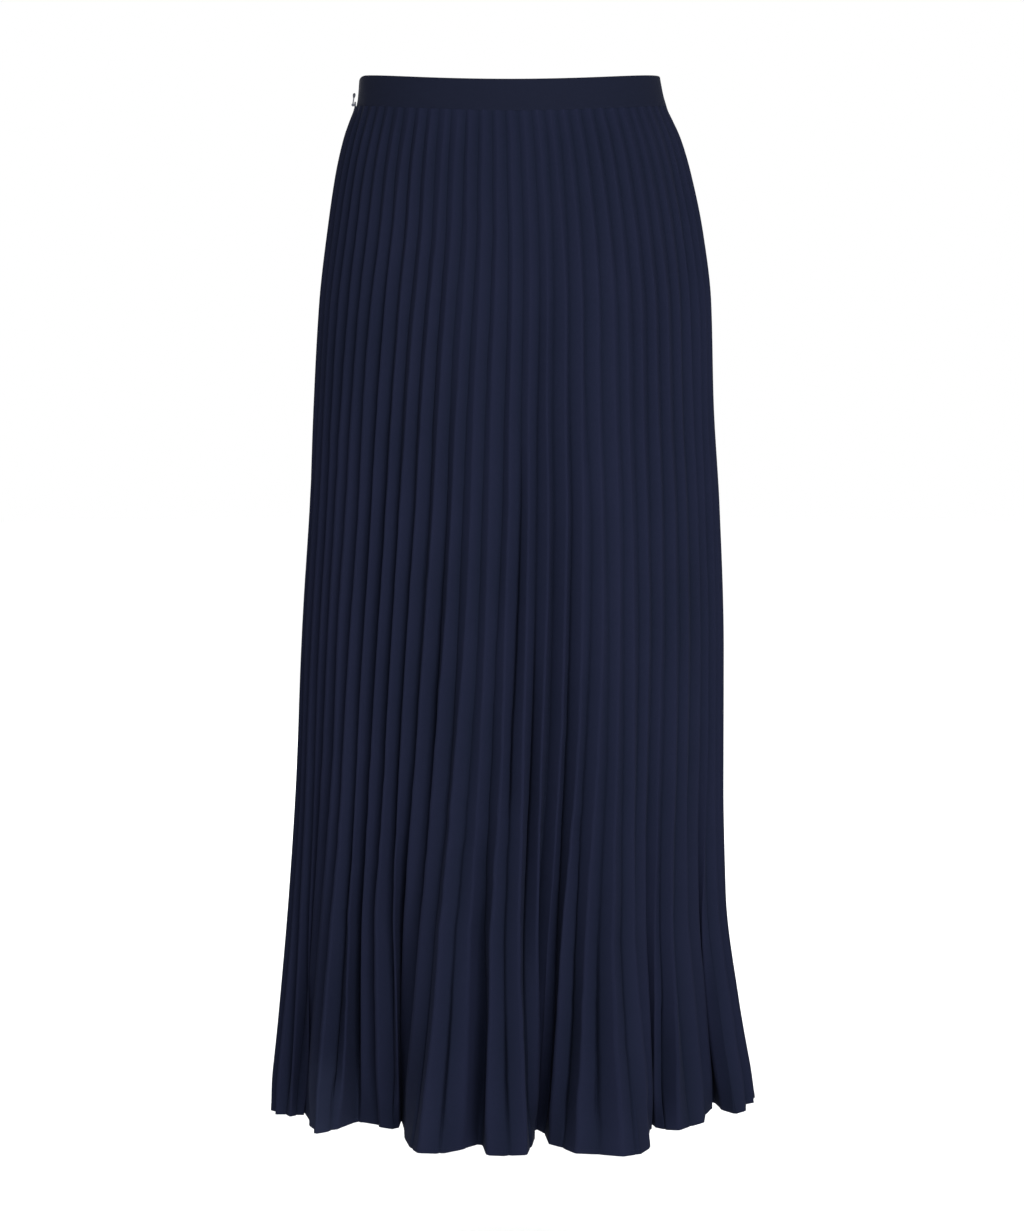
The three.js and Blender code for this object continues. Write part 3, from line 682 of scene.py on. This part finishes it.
def pleatedPanel(name, node, cloth, side, material):
    grid, drops, creases, zigzag = pleatedGrid(cloth, side)
    fromValley = np.abs((creases + 1) % 2 - 1)  # the flat part of a face keeps its own facing up to both its ends
    flatStart = np.isclose(fromValley, pleats["stations"][2])
    flatEnd = np.isclose(fromValley, pleats["stations"][3])
    goesUp = creases % 2 < 1
    fromLeft = np.where(flatStart & goesUp | flatEnd & ~goesUp, 0.0, 1.0)
    fromRight = np.where(flatStart & ~goesUp | flatEnd & goesUp, 0.0, 1.0)
    normals = gridNormals(grid, side, fromLeft, fromRight)
    normals[:, [0, -1], 1:] = 0
    normals[:, 0, 0], normals[:, -1, 0] = -1, 1
    fromHem = pleats["length"] - drops
    turned = 1 - ease((fromHem / pleats["hemTurn"] - 1) / (pleats["hemRows"][0] - 1))
    rounded = np.where(fromHem < pleats["hemEdgeReach"], pleats["hemEdge"], 1)
    wall = (pleats["wall"] + (pleats["hemWall"] - pleats["wall"]) * turned) * rounded
    half = normals * wall[:, None, None] / 2
    points = np.stack([grid + half, grid - half])
    quads = wallQuads(len(drops), len(creases), side > 0)
    panel = meshPiece(name, points, quads, material, np.stack([normals, -normals]))
    # The ridge attribute carries painted shade in the valleys and a painted highlight on the ridges; the other one
    # carries painted light coming through the cloth near the hem
    height = 0.5 + 0.5 * np.broadcast_to(zigzag, grid.shape[:2])
    for given, values in (("ridge", height), ("paintedBacklight", paintedBacklightShare(cloth, creases, drops[:, None]))):
        attribute = panel.data.attributes.new(given, "FLOAT", "POINT")
        attribute.data.foreach_set("value", np.stack([values, values]).astype(np.float32).ravel())
    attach(panel, "skirt")
    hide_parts(node)
    return panel, grid


navyCrepe = crepeMaterial("navy_crepe", crepe)
# Each panel is cut as a sector of a ring, 0.42 m along the waist and 1.45 m along the hem
backPanel, backGrid = pleatedPanel("back_panel", "skirt_back", backCloth, -1, navyCrepe)
frontPanel, frontGrid = pleatedPanel("front_panel", "skirt_front", frontCloth, 1, navyCrepe)
print("Pleated panels made, with", len(backPanel.data.polygons), "faces each")

# Waistband: one strip folded over at its top edge, with a little unevenness from its seams
band = {
    "height": [-0.0135, -0.005, 0.005, 0.0135],
    "left": [0.1362, 0.1348, 0.1340, 0.1335],
    "right": [0.1370, 0.1345, 0.1325, 0.1310],
    "depth": [0.0984, 0.0974, 0.0965, 0.0960],
    "half": 150,
    "levels": 12,
    "roundSteps": 6,
    "foldRound": 0.0010,
    "footRound": 0.0006,
    "edgeLeast": 0.12,
    "paintedEdgeSheen": 0.4,  # how much paler its two rounded edges are painted, a painted sheen
    "length": 0.74,  # about its length all round, over which it is uneven
    "pucker": {"seed": 72, "size": 0.00028, "along": 0.013, "down": 0.02},
    "puckerTop": 0.014,
    "puckerReach": 0.012,
    "wave": {"seed": 71, "size": 0.00045, "along": 0.06, "down": 0.03},
    "endReach": 0.02,
}


def bandLevels():
    # Heights from the top fold down to the foot, and the share of the wall that is left at each
    top, foot = band["height"][-1], band["height"][0]
    turn = np.linspace(math.pi / 2, 0, band["roundSteps"])
    straight = np.linspace(top - band["foldRound"], foot + band["footRound"], band["levels"])
    heights = [top - band["foldRound"] * (1 - np.sin(turn)), straight[1:-1],
               foot + band["footRound"] * (1 - np.sin(turn[::-1]))]
    shares = [np.cos(turn), np.ones(len(straight) - 2), np.cos(turn[::-1])]
    return np.concatenate(heights), np.maximum(np.concatenate(shares), band["edgeLeast"])


def waistbandPiece(material):
    heights, shares = bandLevels()
    along = np.linspace(0, pleats["faces"], band["half"] + 1)
    sizes = {key: tableCurve(band["height"], band[key]) for key in ("left", "right", "depth")}
    rows = []
    for height in heights:
        left, right, depth = (sizes[key](height) - waist["bandWall"] / 2 for key in ("left", "right", "depth"))
        back = halfRing(left, right, depth, along)
        ring = np.vstack([back * (1, -1), back[-2::-1]])
        ring[[0, -1], 1] = (-waist["split"] / 2, waist["split"] / 2)
        rise = (height + waist["bandHeight"] / 2) / waist["bandHeight"]
        nearZip = np.where(ring[:, 0] < 0, np.maximum(1 - np.abs(ring[:, 1]) / waist["zipDipReach"], 0), 0)
        z = height - waist["dip"] * (ring[:, 1] / depth) ** 2 - waist["zipDip"] * rise * nearZip ** 2
        rows.append(np.column_stack([ring, z]))
    grid = np.array(rows)
    normals = gridNormals(grid, -1)
    walked = np.linspace(0, band["length"], grid.shape[1])
    level = (band["height"][-1] - heights)[:, None]
    nearFoot = ease((level - band["puckerTop"]) / band["puckerReach"])
    wave, pucker = (given["size"] * softNoise(given["seed"], walked, level, given["along"], given["down"])
                    for given in (band["wave"], band["pucker"]))
    uneven = wave + pucker * nearFoot
    fromEnds = ease(np.minimum(walked, walked[-1] - walked) / band["endReach"])
    grid = grid + normals * (uneven * fromEnds)[..., None]
    normals = gridNormals(grid, -1)
    normals[:, [0, -1]] = (-1, 0, 0)
    half = normals * (shares * waist["bandWall"] / 2)[:, None, None]
    points = np.stack([grid + half, grid - half])
    piece = meshPiece("waistband_cloth", points, wallQuads(*grid.shape[:2], False), material)
    # Painted sheen: the rounded top fold and foot of the band are painted paler through the ridge attribute
    ridge = piece.data.attributes.new("ridge", "FLOAT", "POINT")
    edge = 0.5 + band["paintedEdgeSheen"] * (1 - shares[:, None]) * np.ones(grid.shape[:2])
    ridge.data.foreach_set("value", np.stack([edge, edge]).astype(np.float32).ravel())
    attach(piece, "skirt")
    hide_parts("waistband")


waistbandPiece(crepeMaterial("band_crepe", bandCloth))
print("Waistband made")


# Threads and wires: round tubes along lines of points
def tubePoints(line, radius, sides):
    way = np.gradient(line, axis=0)
    way /= np.linalg.norm(way, axis=1, keepdims=True)
    aside = np.cross(way, (0.31, 0.17, 0.94))  # a direction that no line here follows
    aside /= np.linalg.norm(aside, axis=1, keepdims=True)
    other = np.cross(way, aside)
    turn = np.linspace(0, 2 * math.pi, sides, endpoint=False)
    rim = aside[:, None] * np.cos(turn)[:, None] + other[:, None] * np.sin(turn)[:, None]
    return line[:, None] + rim * np.reshape(radius, (-1, 1, 1))


def tubeQuads(length, sides):
    index = np.arange(length * sides).reshape(length, sides)
    after = np.roll(index, -1, axis=1)
    return np.stack([index[:-1], after[:-1], after[1:], index[1:]], -1).reshape(-1, 4)


# Closed zip: two rows of coil that mesh with each other, on their woven tape behind the seam
zipParts = {
    "top": -0.0144,
    "foot": -0.2226,
    "inward": 0.0012,  # a concealed zip lies behind the edges of the cloth
    "pitch": 0.0011,
    "coilReach": 0.00085,
    "coilMiddle": 0.42,
    "coilDepth": 0.00042,
    "wire": 0.00021,
    "steps": 12,
    "sides": 6,
    "tapeHalf": 0.0062,
    "tapeWall": 0.00045,
    "tapeInward": 0.0021,
    "tapeRows": 60,
    "tapeColumns": 7,
    "tapeCurl": 3,
}


def seamPlace(heights):
    # How far left the cloth's edge lies at each height of the left seam
    z = backGrid[::-1, 0, 2]
    return np.interp(heights, z, backGrid[::-1, 0, 0])


def zipPiece(material):
    parts = zipParts
    turns = (parts["top"] - parts["foot"]) / parts["pitch"]
    t = np.linspace(0, turns, int(turns * parts["steps"]))
    height = parts["top"] - t * parts["pitch"]
    points, faces = [], []
    for way in (-1, 1):
        angle = 2 * math.pi * t + (0 if way < 0 else math.pi)
        y = way * parts["coilReach"] * (parts["coilMiddle"] + (1 - parts["coilMiddle"]) * np.cos(angle))
        x = seamPlace(height) + parts["inward"] + parts["coilDepth"] * np.sin(angle)
        line = np.column_stack([x, y, height])
        tube = tubePoints(line, parts["wire"], parts["sides"]).reshape(-1, 3)
        faces.append(tubeQuads(len(line), parts["sides"]) + sum(len(p) for p in points))
        points.append(tube)
    rows = np.linspace(parts["top"], parts["foot"], parts["tapeRows"])
    across = np.linspace(-parts["tapeHalf"], parts["tapeHalf"], parts["tapeColumns"])
    layers = []
    for wall in (0, parts["tapeWall"]):
        x = seamPlace(rows)[:, None] + parts["tapeInward"] + wall + parts["tapeCurl"] * across[None] ** 2
        y, z = np.broadcast_arrays(across[None], rows[:, None])
        layers.append(np.stack([x, y, z], -1))
    faces.append(wallQuads(len(rows), len(across), True) + sum(len(p) for p in points))
    points.append(np.stack(layers).reshape(-1, 3))
    piece = meshPiece("zip_chain", np.vstack(points), np.vstack(faces), material)
    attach(piece, "skirt")
    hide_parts("zip_coil")


nylon = {
    "tints": [(0.0052, 0.0066, 0.0150), (0.0066, 0.0082, 0.0185), (0.0080, 0.0098, 0.0215)],
    "stops": (0, 0.5, 1),
    "weave": 900,
    "weaveWaver": 0.6,
    "weaveHeight": 0.00005,
    "roughness": 0.5,
}


def tapeMaterial():
    material, shader = newMaterial("zip_nylon")
    nodes = material.node_tree.nodes
    place = nodes.new("ShaderNodeTexCoord")
    weave = nodes.new("ShaderNodeTexWave")
    weave.bands_direction = "Z"
    weave.inputs["Scale"].default_value = nylon["weave"]
    weave.inputs["Distortion"].default_value = nylon["weaveWaver"]
    linkInput(material, place, "Object", weave, "Vector")
    ramp = colourRamp(material, nylon["stops"], nylon["tints"])
    linkInput(material, weave, "Fac", ramp, "Fac")
    linkInput(material, ramp, "Color", shader, "Base Color")
    bump = nodes.new("ShaderNodeBump")
    bump.inputs["Distance"].default_value = nylon["weaveHeight"]
    linkInput(material, weave, "Fac", bump, "Height")
    linkInput(material, bump, "Normal", shader, "Normal")
    shader.inputs["Roughness"].default_value = nylon["roughness"]
    return material


zipPiece(tapeMaterial())
print("Zip chain made")

# The slider and its pull keep the solids' shape, in navy enamel over metal, worn a little lighter here and there
enamel = {
    "deep": (0.0070, 0.0088, 0.0200),
    "plain": (0.0105, 0.0132, 0.0290),
    "worn": (0.0200, 0.0225, 0.0330),
    "stops": (0.30, 0.52, 0.72),
    "speckle": 900,
    "speckleDetail": 4,
    "orangePeel": 1600,
    "peelHeight": 0.00003,
    "roughness": (0.34, 0.50),
    "metallic": 0.35,
    "coat": 0.25,
    "coatRoughness": 0.3,
}


def enamelMaterial():
    material, shader = newMaterial("zip_enamel")
    nodes = material.node_tree.nodes
    place = nodes.new("ShaderNodeTexCoord")
    speckle = nodes.new("ShaderNodeTexNoise")
    speckle.inputs["Scale"].default_value = enamel["speckle"]
    speckle.inputs["Detail"].default_value = enamel["speckleDetail"]
    linkInput(material, place, "Object", speckle, "Vector")
    ramp = colourRamp(material, enamel["stops"], (enamel["deep"], enamel["plain"], enamel["worn"]))
    linkInput(material, speckle, "Fac", ramp, "Fac")
    linkInput(material, ramp, "Color", shader, "Base Color")
    rough = nodes.new("ShaderNodeMapRange")
    rough.inputs["To Min"].default_value, rough.inputs["To Max"].default_value = enamel["roughness"]
    linkInput(material, speckle, "Fac", rough, "Value")
    linkInput(material, rough, "Result", shader, "Roughness")
    peel = nodes.new("ShaderNodeTexNoise")
    peel.inputs["Scale"].default_value = enamel["orangePeel"]
    linkInput(material, place, "Object", peel, "Vector")
    bump = nodes.new("ShaderNodeBump")
    bump.inputs["Distance"].default_value = enamel["peelHeight"]
    linkInput(material, peel, "Fac", bump, "Height")
    linkInput(material, bump, "Normal", shader, "Normal")
    shader.inputs["Metallic"].default_value = enamel["metallic"]
    shader.inputs["Coat Weight"].default_value = enamel["coat"]
    shader.inputs["Coat Roughness"].default_value = enamel["coatRoughness"]
    return material


navyEnamel = enamelMaterial()
for node in ("zip_slider", "zip_pull"):
    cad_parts[node].data.materials.clear()
    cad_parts[node].data.materials.append(navyEnamel)
print("Slider and pull enamelled")

# Hem stitches: short threads along the turned-up hem, a little sunk into the cloth
stitching = {
    "aboveHem": 0.0050,
    "length": 0.0021,
    "gap": 0.0006,
    "thread": 0.00019,
    "endShare": 0.35,  # the thread thins to this share of itself where it enters the cloth
    "fromSeam": 0.004,
    "rings": 5,
    "sides": 5,
    "tints": [(0.0050, 0.0064, 0.0165), (0.0064, 0.0080, 0.0200), (0.0080, 0.0100, 0.0240)],
    "stops": (0.3, 0.5, 0.7),
    "twist": 2600,
    "roughness": 0.8,
    "specular": 0.1,
}


def hemThreads(name, grid, side, material):
    fromHem = grid[:, 0, 2] - grid[-1, 0, 2]
    row = int(np.argmin(np.abs(fromHem - stitching["aboveHem"])))
    normals = gridNormals(grid, side)[row]
    line = grid[row] + normals * pleats["hemWall"] / 2
    walked = np.concatenate([[0], np.cumsum(np.linalg.norm(np.diff(line, axis=0), axis=1))])
    fromSeam = stitching["fromSeam"]
    starts = np.arange(fromSeam, walked[-1] - fromSeam, stitching["length"] + stitching["gap"])
    dip = np.sin(np.linspace(0, math.pi, stitching["rings"]))
    radius = stitching["thread"] * (stitching["endShare"] + (1 - stitching["endShare"]) * dip)
    points, faces, count = [], [], stitching["rings"] * stitching["sides"]
    quads = tubeQuads(stitching["rings"], stitching["sides"])
    for k, start in enumerate(starts):
        at = start + np.linspace(0, stitching["length"], stitching["rings"])
        thread = np.stack([np.interp(at, walked, line[:, axis]) for axis in range(3)], -1)
        points.append(tubePoints(thread, radius, stitching["sides"]).reshape(-1, 3))
        faces.append(quads + k * count)
    piece = meshPiece(name, np.vstack(points), np.vstack(faces), material)
    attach(piece, "skirt")


def threadMaterial():
    material, shader = newMaterial("hem_thread")
    nodes = material.node_tree.nodes
    place = nodes.new("ShaderNodeTexCoord")
    twist = nodes.new("ShaderNodeTexNoise")
    twist.inputs["Scale"].default_value = stitching["twist"]
    linkInput(material, place, "Object", twist, "Vector")
    ramp = colourRamp(material, stitching["stops"], stitching["tints"])
    linkInput(material, twist, "Fac", ramp, "Fac")
    linkInput(material, ramp, "Color", shader, "Base Color")
    shader.inputs["Roughness"].default_value = stitching["roughness"]
    shader.inputs["Specular IOR Level"].default_value = stitching["specular"]
    return material


navyThread = threadMaterial()
hemThreads("back_hem_stitches", backGrid, -1, navyThread)
hemThreads("front_hem_stitches", frontGrid, 1, navyThread)
print("Hem stitched")
